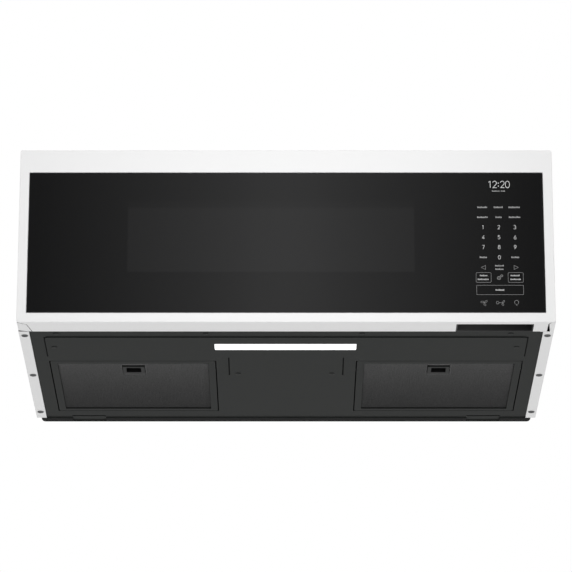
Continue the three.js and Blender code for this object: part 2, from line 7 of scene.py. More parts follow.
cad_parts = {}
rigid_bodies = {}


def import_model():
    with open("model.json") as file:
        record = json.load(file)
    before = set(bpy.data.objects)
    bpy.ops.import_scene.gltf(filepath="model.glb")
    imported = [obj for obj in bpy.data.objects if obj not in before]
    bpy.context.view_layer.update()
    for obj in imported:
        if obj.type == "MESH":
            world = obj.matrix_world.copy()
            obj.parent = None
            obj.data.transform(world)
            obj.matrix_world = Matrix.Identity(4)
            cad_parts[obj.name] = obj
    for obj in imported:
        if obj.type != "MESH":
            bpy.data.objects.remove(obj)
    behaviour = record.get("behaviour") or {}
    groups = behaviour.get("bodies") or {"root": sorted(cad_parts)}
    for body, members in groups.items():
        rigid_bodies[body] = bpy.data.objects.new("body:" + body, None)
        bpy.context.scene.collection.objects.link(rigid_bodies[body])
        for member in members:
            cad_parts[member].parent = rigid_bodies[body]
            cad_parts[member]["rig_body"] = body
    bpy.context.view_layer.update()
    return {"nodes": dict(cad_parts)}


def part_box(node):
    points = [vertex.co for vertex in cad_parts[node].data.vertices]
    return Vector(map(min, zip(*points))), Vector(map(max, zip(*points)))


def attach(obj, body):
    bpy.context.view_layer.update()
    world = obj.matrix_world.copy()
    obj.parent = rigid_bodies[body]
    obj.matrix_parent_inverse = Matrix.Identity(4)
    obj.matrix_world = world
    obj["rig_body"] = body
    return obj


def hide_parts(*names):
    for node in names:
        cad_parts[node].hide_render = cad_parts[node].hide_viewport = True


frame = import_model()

N = frame["nodes"]
scene = bpy.context.scene

# The model is drawn in millimetres with X to the right, Y from the door's front face to the wall
# and Z up from the underside. The row frame's origin is the centre of the wall face.
OX, OY, OZ = 0.0, -465.0, -130.2


def P(x, y, z):
    return Vector(((x + OX) / 1000, (y + OY) / 1000, (z + OZ) / 1000))


# ------------------------------------------------------------------ materials
class Graph:
    """A short way to write node trees."""

    def __init__(self, name):
        self.m = bpy.data.materials.new(name)
        self.m.use_nodes = True
        self.t = self.m.node_tree
        self.t.nodes.clear()
        self.out = self.t.nodes.new("ShaderNodeOutputMaterial")
        self.bsdf = self.t.nodes.new("ShaderNodeBsdfPrincipled")
        self.t.links.new(self.bsdf.outputs[0], self.out.inputs[0])
        self._pos = None

    def node(self, kind, **props):
        n = self.t.nodes.new(kind)
        for k, v in props.items():
            setattr(n, k, v)
        return n

    def link(self, a, b):
        self.t.links.new(a, b)

    def set(self, **kw):
        names = {"base": "Base Color", "rough": "Roughness", "metal": "Metallic", "ior": "IOR", "spec": "Specular IOR Level",
                 "coat": "Coat Weight", "coat_rough": "Coat Roughness", "alpha": "Alpha", "emit": "Emission Color",
                 "emit_strength": "Emission Strength", "trans": "Transmission Weight"}
        for k, v in kw.items():
            s = self.bsdf.inputs[names[k]]
            if k in ("base", "emit"):
                v = (*v, 1.0) if len(v) == 3 else v
            s.default_value = v
        return self

    def pos(self):
        if self._pos is None:
            self._pos = self.node("ShaderNodeTexCoord").outputs["Object"]
        return self._pos

    def noise(self, scale, detail=2.0, rough=0.5, vec=None, stretch=None):
        v = vec or self.pos()
        if stretch:
            mp = self.node("ShaderNodeMapping")
            mp.inputs["Scale"].default_value = stretch
            self.link(v, mp.inputs["Vector"])
            v = mp.outputs[0]
        n = self.node("ShaderNodeTexNoise")
        n.inputs["Scale"].default_value = scale
        n.inputs["Detail"].default_value = detail
        n.inputs["Roughness"].default_value = rough
        self.link(v, n.inputs["Vector"])
        return n.outputs["Fac"]

    def ramp(self, fac, stops, mode="LINEAR"):
        r = self.node("ShaderNodeValToRGB")
        r.color_ramp.interpolation = mode
        e = r.color_ramp.elements
        while len(e) > len(stops):
            e.remove(e[-1])
        while len(e) < len(stops):
            e.new(0.5)
        for el, (p, c) in zip(e, stops):
            el.position = p
            el.color = (*c, 1.0) if len(c) == 3 else c
        self.link(fac, r.inputs[0])
        return r.outputs[0]

    def math(self, op, a, b=None, clamp=False):
        n = self.node("ShaderNodeMath", operation=op, use_clamp=clamp)
        for i, v in enumerate((a, b)):
            if v is None:
                continue
            if isinstance(v, (int, float)):
                n.inputs[i].default_value = v
            else:
                self.link(v, n.inputs[i])
        return n.outputs[0]

    def mix(self, fac, a, b):
        n = self.node("ShaderNodeMix", data_type="RGBA")
        for sock, v in ((n.inputs["Factor"], fac), (n.inputs[6], a), (n.inputs[7], b)):
            if isinstance(v, (int, float)):
                sock.default_value = v
            elif isinstance(v, tuple):
                sock.default_value = (*v, 1.0) if len(v) == 3 else v
            else:
                self.link(v, sock)
        return n.outputs[2]

    def bump(self, height, strength=0.1, distance=0.0002):
        b = self.node("ShaderNodeBump")
        b.inputs["Strength"].default_value = strength
        b.inputs["Distance"].default_value = distance
        self.link(height, b.inputs["Height"])
        self.link(b.outputs[0], self.bsdf.inputs["Normal"])
        return b

    def xyz(self):
        s = self.node("ShaderNodeSeparateXYZ")
        self.link(self.pos(), s.inputs[0])
        return s.outputs


def painted(name, col, var=0.015, rough=0.4, grain=900.0, bump=0.05, coat=0.0, spec=0.5, drift=0.0):
    """Smooth or fine-textured paint: faint grain in tone, gloss and relief, and a very slow drift of tone."""
    g = Graph(name)
    fine = g.noise(grain, 3.0, 0.6)
    lo = tuple(c * (1 - var) for c in col)
    hi = tuple(min(1.0, c * (1 + var)) for c in col)
    base = g.ramp(fine, [(0.3, lo), (0.7, hi)])
    if drift:
        base = g.mix(g.ramp(g.noise(4.0, 2.0), [(0.3, (0.0,) * 3), (0.7, (drift,) * 3)]), base, tuple(c * 0.9 for c in col))
    g.link(base, g.bsdf.inputs["Base Color"])
    g.link(g.ramp(fine, [(0.3, (rough * 0.94,) * 3), (0.7, (rough * 1.06,) * 3)]), g.bsdf.inputs["Roughness"])
    g.bump(fine, bump, 0.0001)
    g.set(coat=coat, coat_rough=0.12, spec=spec)
    return g.m


def metal(name, col, rough=0.35, stretch=(1, 1, 1), scale=260.0, var=0.1, bump=0.08, metallic=1.0, spangle=False):
    g = Graph(name)
    g.set(metal=metallic)
    if spangle:
        v = g.node("ShaderNodeTexVoronoi")
        v.inputs["Scale"].default_value = 210.0
        g.link(g.pos(), v.inputs["Vector"])
        s = g.node("ShaderNodeSeparateColor")
        g.link(v.outputs["Color"], s.inputs[0])
        f = s.outputs[0]
    else:
        f = g.noise(scale, 3.0, 0.6, stretch=stretch)
    g.link(g.ramp(f, [(0.2, tuple(c * (1 - var) for c in col)), (0.8, tuple(min(1, c * (1 + var)) for c in col))]), g.bsdf.inputs["Base Color"])
    lo, hi = (0.94, 1.07) if spangle else (0.8, 1.25)
    g.link(g.ramp(f, [(0.2, (rough * lo,) * 3), (0.8, (rough * hi,) * 3)]), g.bsdf.inputs["Roughness"])
    g.bump(g.noise(scale * 2, 2.0, stretch=stretch), bump, 0.00006)
    return g.m


M = {}
M["white"] = painted("white_enamel_paint", (0.8, 0.8, 0.8), 0.006, 0.42, 1400, 0.02)
M["frame"] = painted("white_door_frame", (0.8, 0.8, 0.8), 0.004, 0.40, 1600, 0.012)
M["inner_white"] = painted("white_inner_paint", (0.80, 0.80, 0.795), 0.01, 0.42, 1200, 0.03)
M["charcoal"] = painted("charcoal_textured_paint", (0.0272, 0.0288, 0.0277), 0.07, 0.62, 1500, 0.22, spec=0.08)
M["cover"] = painted("charcoal_cover_paint", (0.0272, 0.0288, 0.0277), 0.07, 0.62, 1500, 0.22, spec=0.08)
# darker charcoal painted on the cover's front edge and the filter windows' walls: painted shade
M["cover_edge"] = painted("charcoal_painted_rim_shade", (0.0183, 0.0196, 0.0187), 0.07, 0.62, 1500, 0.22, spec=0.08)
M["band"] = painted("dark_rear_pan_paint", (0.0089, 0.0092, 0.0091), 0.08, 0.6, 1500, 0.22, spec=0.06)
# near-black finish for sheared edges, also painted into gaps, grooves, slots and notches as painted shade
M["edge"] = painted("dark_sheared_edge_and_painted_gap_shade", (0.006, 0.006, 0.006), 0.2, 0.7, 900, 0.2, spec=0.05)
M["black"] = painted("black_moulded_plastic", (0.015, 0.015, 0.015), 0.08, 0.5, 1800, 0.2, spec=0.3)
# near black painted in the filter latches' finger recesses: painted shade
M["deep_black"] = painted("black_painted_latch_recess_shade", (0.006, 0.006, 0.006), 0.08, 0.55, 1800, 0.2, spec=0.1)
M["latch"] = painted("dark_grey_latch_plastic", (0.0227, 0.0235, 0.0231), 0.08, 0.55, 1800, 0.2, spec=0.15)
M["screw"] = painted("zinc_screw_darkened", (0.1002, 0.1011, 0.1028), 0.12, 0.5, 1600, 0.25, spec=0.2)
M["dark_screw"] = painted("charcoal_painted_screw", (0.0283, 0.0296, 0.0288), 0.1, 0.55, 1200, 0.25, spec=0.12)
M["bracket"] = painted("dark_zinc_bracket", (0.020, 0.0205, 0.021), 0.12, 0.5, 1200, 0.2, spec=0.15)
M["zinc"] = metal("galvanised_sheet", (0.50, 0.52, 0.54), 0.45, spangle=True, var=0.05)
M["steel"] = metal("plain_steel", (0.62, 0.63, 0.64), 0.34, (1, 30, 30), 60.0)
M["enamel"] = painted("oven_enamel", (0.46, 0.47, 0.455), 0.05, 0.42, 700, 0.08, coat=0.1)
M["nylon"] = painted("natural_nylon", (0.74, 0.73, 0.68), 0.03, 0.45, 900, 0.08)
M["mica"] = painted("mica_sheet", (0.50, 0.42, 0.27), 0.16, 0.6, 300, 0.25)
M["board"] = painted("circuit_board_mask", (0.014, 0.085, 0.036), 0.2, 0.35, 500, 0.1)
M["copper"] = metal("lamination_and_winding", (0.36, 0.16, 0.07), 0.45, (1, 1, 30), 40.0, 0.4, 0.3, 0.7)


def glass_panel():
    """Black printed front glass: jet black, with the window zone a little lighter behind a fine dot print, painted
    light standing in for the lit screen seen through the glass, and a darker band painted along the window's top as the
    shade under the opening's top edge.
    """
    g = Graph("black_front_glass")
    s = g.xyz()
    x, z = s[0], s[2]

    def band(v, lo, hi, soft=0.0006):
        a = g.node("ShaderNodeMapRange")
        a.inputs["From Min"].default_value, a.inputs["From Max"].default_value = lo - soft, lo + soft
        g.link(v, a.inputs["Value"])
        b = g.node("ShaderNodeMapRange")
        b.inputs["From Min"].default_value, b.inputs["From Max"].default_value = hi - soft, hi + soft
        b.inputs["To Min"].default_value, b.inputs["To Max"].default_value = 1.0, 0.0
        g.link(v, b.inputs["Value"])
        return g.math("MULTIPLY", a.outputs[0], b.outputs[0])

    # painted light: the window zone is lighter, standing in for the lit screen seen through the glass; painted shade:
    # the band above it is darker than the window, the shadow under the opening's top edge
    painted_screen_light = g.math("MULTIPLY", band(x, -0.225, 0.182), band(z, 0.0753 - 0.1302, 0.1725 - 0.1302))
    upper = g.math("MULTIPLY", band(x, -0.225, 0.182), band(z, 0.1725 - 0.1302, 0.1827 - 0.1302))
    k = 1 / 0.0018
    dots = g.math("MULTIPLY", g.math("SINE", g.math("MULTIPLY", x, 2 * math.pi * k)), g.math("SINE", g.math("MULTIPLY", z, 2 * math.pi * k)))
    dots = g.math("MULTIPLY_ADD", dots, 0.25)
    dots.node.inputs[2].default_value = 0.85
    tone = g.math("MULTIPLY", painted_screen_light, dots)
    col = g.mix(tone, (0.0058, 0.0058, 0.0060), (0.0112, 0.0112, 0.0114))
    col = g.mix(upper, col, (0.0072, 0.0072, 0.0074))
    cloud = g.noise(3.0, 2.0)
    col = g.mix(g.ramp(cloud, [(0.3, (0.0,) * 3), (0.8, (0.12,) * 3)]), col, (0.004, 0.004, 0.0042))
    g.link(col, g.bsdf.inputs["Base Color"])
    g.set(ior=1.5, rough=0.035)
    return g.m


def finger_pocket():
    """Textured black moulding, a little greyer towards the wide end: painted light and shade along X."""
    g = Graph("textured_pocket_plastic")
    s = g.xyz()
    r = g.node("ShaderNodeMapRange")
    r.inputs["From Min"].default_value, r.inputs["From Max"].default_value = 0.240, 0.350
    g.link(s[0], r.inputs["Value"])
    # painted light and shade: the tone falls from grey to near black along X
    base = g.ramp(r.outputs[0], [(0.0, (0.0697,) * 3), (1.0, (0.0192,) * 3)])
    f = g.noise(1500.0, 3.0, 0.6)
    tone = g.ramp(f, [(0.3, (0.92,) * 3), (0.7, (1.0,) * 3)])
    n = g.node("ShaderNodeMix", data_type="RGBA", blend_type="MULTIPLY")
    n.inputs["Factor"].default_value = 1.0
    g.link(base, n.inputs[6])
    g.link(tone, n.inputs[7])
    g.link(n.outputs[2], g.bsdf.inputs["Base Color"])
    g.set(rough=0.55, spec=0.15)
    g.bump(f, 0.2, 0.0001)
    return g.m


def clear_glass(name, tint, rough=0.03, frost=0.0):
    g = Graph(name)
    f = g.noise(35.0, 2.0)
    g.link(g.ramp(f, [(0.3, tuple(c * 0.97 for c in tint)), (0.7, tint)]), g.bsdf.inputs["Base Color"])
    g.set(trans=1.0, ior=1.5, rough=rough)
    return g.m


def lamp():
    """Frosted diffuser that glows evenly, with the faint prisms of its back face."""
    g = Graph("frosted_lamp_diffuser")
    w = g.node("ShaderNodeTexWave")
    w.inputs["Scale"].default_value = 160.0
    w.inputs["Distortion"].default_value = 0.0
    g.link(g.pos(), w.inputs["Vector"])
    g.link(g.ramp(w.outputs["Fac"], [(0.0, (0.93,) * 3), (1.0, (0.97,) * 3)]), g.bsdf.inputs["Base Color"])
    g.link(g.ramp(w.outputs["Fac"], [(0.0, (0.98,) * 3), (1.0, (1.0,) * 3)]), g.bsdf.inputs["Emission Color"])
    g.set(emit_strength=1.0, rough=0.4)
    return g.m


# print with a faint glow in its own colour: painted light on the key print; on the clock digits it stands for the lit
# display
def ink(name, col, strength=0.25):
    g = Graph(name)
    f = g.noise(900.0, 2.0)
    c = g.ramp(f, [(0.3, tuple(v * 0.94 for v in col)), (0.7, col)])
    g.link(c, g.bsdf.inputs["Base Color"])
    g.link(c, g.bsdf.inputs["Emission Color"])
    g.set(emit_strength=strength, rough=0.5)
    return g.m


M["glass"] = glass_panel()
M["tray"] = clear_glass("turntable_glass", (0.90, 0.95, 0.935))
M["pane"] = clear_glass("inner_pane", (0.86, 0.90, 0.89), 0.05)
M["lamp"] = lamp()
M["ink"] = ink("light_key_print", (0.46, 0.46, 0.46), 0.14)
M["mark"] = ink("grey_key_print", (0.33, 0.33, 0.33), 0.08)
M["line"] = ink("thin_key_outline", (0.20, 0.20, 0.20), 0.06)
M["display"] = ink("display_digits", (0.60, 0.60, 0.60), 0.32)
M["pocket"] = finger_pocket()


def painted_depth_shade(g, front, rear):
    """Painted shade along the object's own Y: lighter at the front of the filter and darker towards the wall."""
    s = g.xyz()
    r = g.node("ShaderNodeMapRange")
    r.inputs["From Min"].default_value, r.inputs["From Max"].default_value = -0.273, -0.059
    r.inputs["To Min"].default_value, r.inputs["To Max"].default_value = 0.0, 1.0
    g.link(s[1], r.inputs["Value"])
    mid = (front * 0.42 + rear * 0.58)
    return g.ramp(r.outputs[0], [(0.0, (front,) * 3), (0.5, (mid,) * 3), (1.0, (rear,) * 3)])


def times(g, a, b):
    n = g.node("ShaderNodeMix", data_type="RGBA", blend_type="MULTIPLY")
    n.inputs["Factor"].default_value = 1.0
    g.link(a, n.inputs[6])
    g.link(b, n.inputs[7])
    return n.outputs[2]


def expanded():
    """Aluminium strands, finely mottled, with painted shade that darkens them towards the wall."""
    g = Graph("expanded_aluminium")
    f = g.noise(420.0, 3.0, 0.7)
    tone = g.ramp(f, [(0.25, (0.0915,) * 3), (0.75, (0.1700,) * 3)])
    g.link(times(g, tone, painted_depth_shade(g, 1.0, 0.40)), g.bsdf.inputs["Base Color"])
    g.link(g.ramp(f, [(0.25, (0.62,) * 3), (0.8, (0.48,) * 3)]), g.bsdf.inputs["Roughness"])
    g.set(metal=0.35, spec=0.3)
    g.bump(f, 0.3, 0.0001)
    return g.m


M["strand"] = expanded()


def perforated():
    """Black-coated steel screen; the holes are cut by the alpha of a hexagonal dot grid."""
    g = Graph("perforated_screen")
    s = g.xyz()
    p = 0.0019

    def cell(dx, dz):
        u = g.math("FRACT", g.math("MULTIPLY_ADD", s[0], 1 / p))
        u.node.inputs[0].links[0].from_node.inputs[2].default_value = 100.0 + dx
        v = g.math("FRACT", g.math("MULTIPLY_ADD", s[2], 1 / (p * 1.732)))
        v.node.inputs[0].links[0].from_node.inputs[2].default_value = 100.0 + dz
        a = g.math("SUBTRACT", u, 0.5)
        b = g.math("MULTIPLY", g.math("SUBTRACT", v, 0.5), 1.732)
        return g.math("SQRT", g.math("ADD", g.math("MULTIPLY", a, a), g.math("MULTIPLY", b, b)))

    d = g.math("MINIMUM", cell(0, 0), cell(0.5, 0.5))
    hole = g.math("LESS_THAN", d, 0.33)
    g.link(g.math("SUBTRACT", 1.0, g.math("MULTIPLY", hole, 0.9)), g.bsdf.inputs["Alpha"])
    g.link(g.ramp(g.noise(300.0), [(0.3, (0.02,) * 3), (0.7, (0.032,) * 3)]), g.bsdf.inputs["Base Color"])
    g.set(rough=0.45, metal=0.2)
    return g.m


M["screen"] = perforated()


# -------------------------------------------------------------- piece helpers
def add_object(name, me, body, mat, replaces=()):
    o = bpy.data.objects.new(name, me)
    scene.collection.objects.link(o)
    me.materials.clear()
    me.materials.append(mat)
    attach(o, body)
    if replaces:
        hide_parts(*replaces)
    return o


def smooth(me, angle=35):
    if "custom_normal" in me.attributes:
        me.attributes.remove(me.attributes["custom_normal"])
    me.set_sharp_from_angle(angle=math.radians(angle))
    me.polygons.foreach_set("use_smooth", [max(abs(c) for c in p.normal) < 0.9995 for p in me.polygons])


def body_of(node):
    return N[node]["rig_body"]


def bevel_mod(o, width, segs=2, angle=40):
    b = o.modifiers.new("edge", "BEVEL")
    b.width = width / 1000
    b.segments = segs
    b.limit_method = "ANGLE"
    b.angle_limit = math.radians(angle)
    b.use_clamp_overlap = True
    b.miter_outer = "MITER_ARC"
    w = o.modifiers.new("flat", "WEIGHTED_NORMAL")
    w.keep_sharp = True
    w.weight = 80
    return b


def refine(node, mat, width=0.3, segs=2, edit=None, angle=40, smooth_angle=40, extra=(), pick=None):
    """The node's own shape with merged flat faces, soft edges and its finish."""
    me = N[node].data.copy()
    bm = bmesh.new()
    bm.from_mesh(me)
    bmesh.ops.remove_doubles(bm, verts=bm.verts, dist=3e-6)
    bmesh.ops.dissolve_limit(bm, angle_limit=math.radians(0.7), verts=bm.verts, edges=bm.edges)
    if edit:
        edit(bm)
    bm.to_mesh(me)
    bm.free()
    o = add_object(node + "_finished", me, body_of(node), mat, (node,))
    finishes(me, extra, pick)
    smooth(me, smooth_angle)
    if width:
        bevel_mod(o, width, segs, angle)
    return o


def finishes(me, extra, pick):
    """Second and further finishes of a piece; pick(x, y, z, normal) gives a face's finish, from its centre in mm."""
    for m in extra:
        me.materials.append(m)
    if pick:
        for p in me.polygons:
            c = p.center
            p.material_index = pick(c.x * 1000 - OX, c.y * 1000 - OY, c.z * 1000 - OZ, p.normal)


def sheet(node, mat, extra=(), pick=None, smooth_angle=32):
    """Sheet-metal node: its own flat faces and crisp sheared edges, with rolled bends shaded smooth."""
    me = N[node].data.copy()
    bm = bmesh.new()
    bm.from_mesh(me)
    bmesh.ops.remove_doubles(bm, verts=bm.verts, dist=3e-6)
    bm.to_mesh(me)
    bm.free()
    o = add_object(node + "_finished", me, body_of(node), mat, (node,))
    finishes(me, extra, pick)
    smooth(me, smooth_angle)
    return o


def from_bmesh(name, bm, body, mat, replaces=(), angle=35, bevel=None):
    me = bpy.data.meshes.new(name)
    bm.normal_update()
    bm.to_mesh(me)
    bm.free()
    o = add_object(name, me, body, mat, replaces)
    smooth(me, angle)
    if bevel:
        bevel_mod(o, *bevel)
    return o


def bm_box(bm, x0, x1, y0, y1, z0, z1):
    r = bmesh.ops.create_cube(bm, size=1.0)
    c = (P(x0, y0, z0) + P(x1, y1, z1)) / 2
    m = Matrix.Translation(c) @ Matrix.Diagonal((abs(x1 - x0) / 1000, abs(y1 - y0) / 1000, abs(z1 - z0) / 1000, 1))
    bmesh.ops.transform(bm, matrix=m, verts=r["verts"])
    return r["verts"]


def lathe(bm, profile, segs, matrix):
    """Turned body from (radius, height) points in mm; the ends on the axis are closed with fans."""
    rings = []
    for r, h in profile:
        if r < 1e-6:
            rings.append([bm.verts.new(matrix @ Vector((0, 0, h / 1000)))])
        else:
            rings.append([bm.verts.new(matrix @ Vector((r / 1000 * math.cos(2 * math.pi * i / segs), r / 1000 * math.sin(2 * math.pi * i / segs), h / 1000)))
                          for i in range(segs)])
    pairs = list(zip(rings, rings[1:]))
    if len(rings[0]) > 1 and len(rings[-1]) > 1:
        pairs.append((rings[-1], rings[0]))
    for a, b in pairs:
        for i in range(segs):
            j = (i + 1) % segs
            if len(a) == 1 and len(b) == 1:
                break
            if len(a) == 1:
                bm.faces.new((a[0], b[j], b[i]))
            elif len(b) == 1:
                bm.faces.new((a[i], a[j], b[0]))
            else:
                bm.faces.new((a[i], a[j], b[j], b[i]))
    bmesh.ops.recalc_face_normals(bm, faces=bm.faces)


# ------------------------------------------------------------------ the case
sheet("outer_wrap", M["white"])
# the plate's sheared edges and the walls and ceilings of its pressed grooves and blind slots take the near-black edge
# finish: painted shade in the grooves, slots and gaps
sheet("base_plate", M["charcoal"], (M["edge"],), lambda x, y, z, n: 1 if abs(n.z) < 0.5 or (n.z < -0.5 and z > 2.2) else 0)
# the rear panel's front-facing lower faces take the lighter charcoal of the base plate: painted light on faces that sit
# in shade
sheet("rear_panel", M["band"], (M["charcoal"],), lambda x, y, z, n: 1 if n.y < -0.5 and z < 3 else 0)
sheet("front_frame", M["inner_white"])
sheet("cavity_liner", M["enamel"])
# the cover's front edge faces are painted darker charcoal and its other side faces near black: painted shade standing
# in for the shadow gaps round the cover
sheet("bottom_cover", M["cover"], (M["cover_edge"], M["edge"]), lambda x, y, z, n: 0 if abs(n.z) > 0.5 else (1 if n.y < -0.5 and y < 75 else 2))
sheet("top_vent_grille", M["white"])
sheet("bay_shelf", M["zinc"])
sheet("exhaust_duct", M["zinc"])
sheet("blower_housing", M["zinc"])
refine("cord_gland", M["black"], 0.4, 3)
refine("hinge_bracket_lower", M["bracket"], 0.3, 2)
refine("hinge_bracket_upper", M["white"], 0.3, 2)
# the cap's left-facing faces, and its front-facing faces behind the door, are painted near black: painted shade in the
# wedge gap beside it
refine("corner_cap_right", M["white"], 0.15, 1, extra=(M["edge"],), pick=lambda x, y, z, n: 1 if n.x < -0.5 or n.y < -0.9 and y > 42 else 0)
refine("latch_board", M["nylon"], 0.4, 2)
refine("led_lens", M["lamp"], 0.3, 2)
refine("waveguide_cover", M["mica"], 0.1, 1)
for n, m in (("magnetron", "zinc"), ("hv_transformer", "copper"), ("hv_capacitor", "zinc"), ("cooling_fan_housing", "black"), ("cooling_fan", "black"),
             ("blower_motor", "zinc"), ("blower_wheel_left", "zinc"), ("blower_wheel_right", "zinc"), ("turntable_motor", "zinc"),
             ("control_board", "board"), ("drive_coupler", "nylon"), ("roller_ring", "nylon")):
    refine(n, M[m], 0.2, 1)
for s in ("left", "right"):
    cx = -223.3 if s == "left" else 223.3
    # filter frames: the outer walls are painted near black and the window walls darker charcoal: painted shade in the
    # gap round the frame and in the window recess
    sheet(f"filter_frame_{s}", M["charcoal"], (M["edge"], M["cover_edge"]),
          lambda x, y, z, n, cx=cx: 0 if abs(n.z) > 0.5 else (1 if abs(x - cx) > 118 or y < 183 or y > 414 else 2))
    # the latch's finger recess is painted near black: painted shade
    refine(f"filter_latch_{s}", M["latch"], 0.2, 2, extra=(M["deep_black"],),
           pick=lambda x, y, z, n, cx=cx: 1 if abs(x - cx) < 10.8 and 212 < y < 233 and z > 2.5 else 0)

# ------------------------------------------------------------------ the door
GX, GZ0, GZ1 = 366.0, 14.6, 225.7


def soften_front(bm):
    """Bright chamfer round the glass and a softer edge round the front face."""
    inner, outer = [], []
    y0 = P(0, 0, 0).y
    for e in bm.edges:
        if any(abs(v.co.y - y0) > 1e-5 for v in e.verts):
            continue
        q = [((v.co.x) * 1000, (v.co.z) * 1000 + 130.2) for v in e.verts]
        if all(abs(x) < 367 and 13 < z < 227 for x, z in q):
            inner.append(e)
        elif all(abs(x) > 376.9 or z < 3.1 or z > 257.3 for x, z in q):
            outer.append(e)
    bmesh.ops.bevel(bm, geom=inner, offset=1.3 / 1000, segments=2, profile=0.55, affect="EDGES", clamp_overlap=True)
    outer = [e for e in outer if e.is_valid]
    bmesh.ops.bevel(bm, geom=outer, offset=1.1 / 1000, segments=4, profile=0.5, affect="EDGES", clamp_overlap=True)




def frame_finish(x, y, z, n):
    """White; the inside of the corner seam and the corner notches is painted near black: painted shade in them."""
    if 358.5 < abs(x) < 379.9 and 0.04 < z < 4.75 and 1.2 < y < 42.5:
        if n.z < -0.97 and z > 0.5 or abs(n.z) < 0.05 and abs(n.x) < 0.9995:
            return 1
    return 0


refine("door_frame", M["frame"], 0.25, 2, edit=soften_front, extra=(M["edge"],), pick=frame_finish)
refine("door_glass", M["glass"], 0.4, 3)
refine("door_inner_panel", M["inner_white"], 0.4, 3)
refine("handle_pocket", M["pocket"], 0.3, 2)
refine("door_latch", M["nylon"], 0.4, 2)
refine("door_inner_pane", M["pane"], 0.3, 2)
refine("door_screen", M["screen"], 0.0)

# ----------------------------------------------------------- print on the glass
INK_Y = 0.27   # just proud of the glass face at 0.3


def ink_mesh(name, layers, mat=None):
    """Flat printed shapes on the glass from closed (x, z) outlines in mm, each layer a hair in front of the last."""
    bm = bmesh.new()
    for k, outlines in enumerate(layers):
        for pts in outlines:
            f = bm.faces.new([bm.verts.new(P(x, INK_Y - 0.02 * k, z)) for x, z in pts])
            f.normal_update()
            if f.normal.y > 0:
                f.normal_flip()
    bmesh.ops.remove_doubles(bm, verts=bm.verts, dist=1e-7)
    return from_bmesh(name, bm, "door", mat or M["ink"])


def ribbon(points, w, closed=False):
    """One line of even width with mitred joints, as quads that meet edge to edge."""
    pts = [p for i, p in enumerate(points) if i == 0 or math.dist(p, points[i - 1]) > 1e-4]
    if closed and math.dist(pts[0], pts[-1]) < 1e-4:
        pts.pop()
    n = len(pts)

    def unit(a, b):
        d = math.dist(a, b)
        return ((b[0] - a[0]) / d, (b[1] - a[1]) / d)

    rails = []
    for i in range(n):
        u = unit(pts[i - 1], pts[i]) if (closed or i > 0) else unit(pts[0], pts[1])
        v = unit(pts[i], pts[(i + 1) % n]) if (closed or i < n - 1) else u
        tx, tz = u[0] + v[0], u[1] + v[1]
        t = math.hypot(tx, tz) or 1.0
        nx, nz = -tz / t, tx / t
        k = w / 2 / max(0.45, nx * -u[1] + nz * u[0])
        rails.append(((pts[i][0] + nx * k, pts[i][1] + nz * k), (pts[i][0] - nx * k, pts[i][1] - nz * k)))
    out = []
    for i in range(n if closed else n - 1):
        a, b = rails[i], rails[(i + 1) % n]
        out.append([a[0], b[0], b[1], a[1]])
    return out


def circle(cx, cz, r, n=24, a0=0.0, a1=360.0):
    return [(cx + r * math.cos(math.radians(a0 + (a1 - a0) * i / n)), cz + r * math.sin(math.radians(a0 + (a1 - a0) * i / n)))
            for i in range(n if a1 - a0 >= 360 else n + 1)]


def round_box(x0, x1, z0, z1, r):
    pts = []
    for cx, cz, s in ((x1 - r, z0 + r, -90), (x1 - r, z1 - r, 0), (x0 + r, z1 - r, 90), (x0 + r, z0 + r, 180)):
        pts += circle(cx, cz, r, 5, s, s + 90)
    return pts


# digits drawn as lines in a box 0..1 wide and 0..1.6 tall: (points, closed)
def arc(cx, cz, rx, rz, a0, a1, n=12):
    return [(cx + rx * math.cos(math.radians(a0 + (a1 - a0) * i / n)), cz + rz * math.sin(math.radians(a0 + (a1 - a0) * i / n))) for i in range(n + 1)]


DIGIT = {
    "0": [(arc(0.5, 0.8, 0.46, 0.8, 0, 360, 24), True)],
    "1": [([(0.16, 1.30), (0.56, 1.56), (0.56, 0.0)], False)],
    "2": [(arc(0.5, 1.14, 0.42, 0.44, 165, -35, 14) + [(0.12, 0.04), (0.96, 0.04)], False)],
    "3": [(arc(0.46, 1.2, 0.40, 0.40, 150, -80, 14) + arc(0.46, 0.42, 0.46, 0.42, 80, -150, 14), False)],
    "4": [([(0.74, 0.0), (0.74, 1.56), (0.08, 0.42)], False), ([(0.04, 0.42), (1.0, 0.42)], False)],
    "5": [([(0.90, 1.56), (0.22, 1.56), (0.16, 0.90)] + arc(0.48, 0.52, 0.46, 0.50, 118, -145, 16), False)],
    "6": [([(0.74, 1.6), (0.34, 1.02), (0.12, 0.66)], False), (arc(0.5, 0.47, 0.42, 0.47, 0, 360, 22), True)],
    "7": [([(0.04, 1.56), (0.92, 1.56), (0.38, 0.0)], False)],
    "8": [(arc(0.5, 1.2, 0.36, 0.38, 0, 360, 20), True), (arc(0.5, 0.42, 0.44, 0.42, 0, 360, 22), True)],
    "9": [([(0.26, 0.0), (0.66, 0.58), (0.88, 0.94)], False), (arc(0.5, 1.13, 0.42, 0.47, 0, 360, 22), True)],
}


def digit(ch, x, z, s, w, layers):
    """Adds one digit with its lower left corner at (x, z); s is its width, and it stands 1.6 times as tall."""
    for k, (path, closed) in enumerate(DIGIT[ch]):
        layers[k % 2] += ribbon([(x + px * s, z + pz * s) for px, pz in path], w, closed)


COLS = (279.8, 302.2, 325.0)
keys = [[], []]
for z, row in ((142.7, "123"), (127.4, "456"), (112.6, "789")):
    for x, k in zip(COLS, row):
        digit(k, x - 1.75, z - 2.8, 3.5, 0.70, keys)
digit("0", COLS[1] - 1.75, 97.1 - 2.8, 3.5, 0.70, keys)
ink_mesh("print_number_keys", keys)

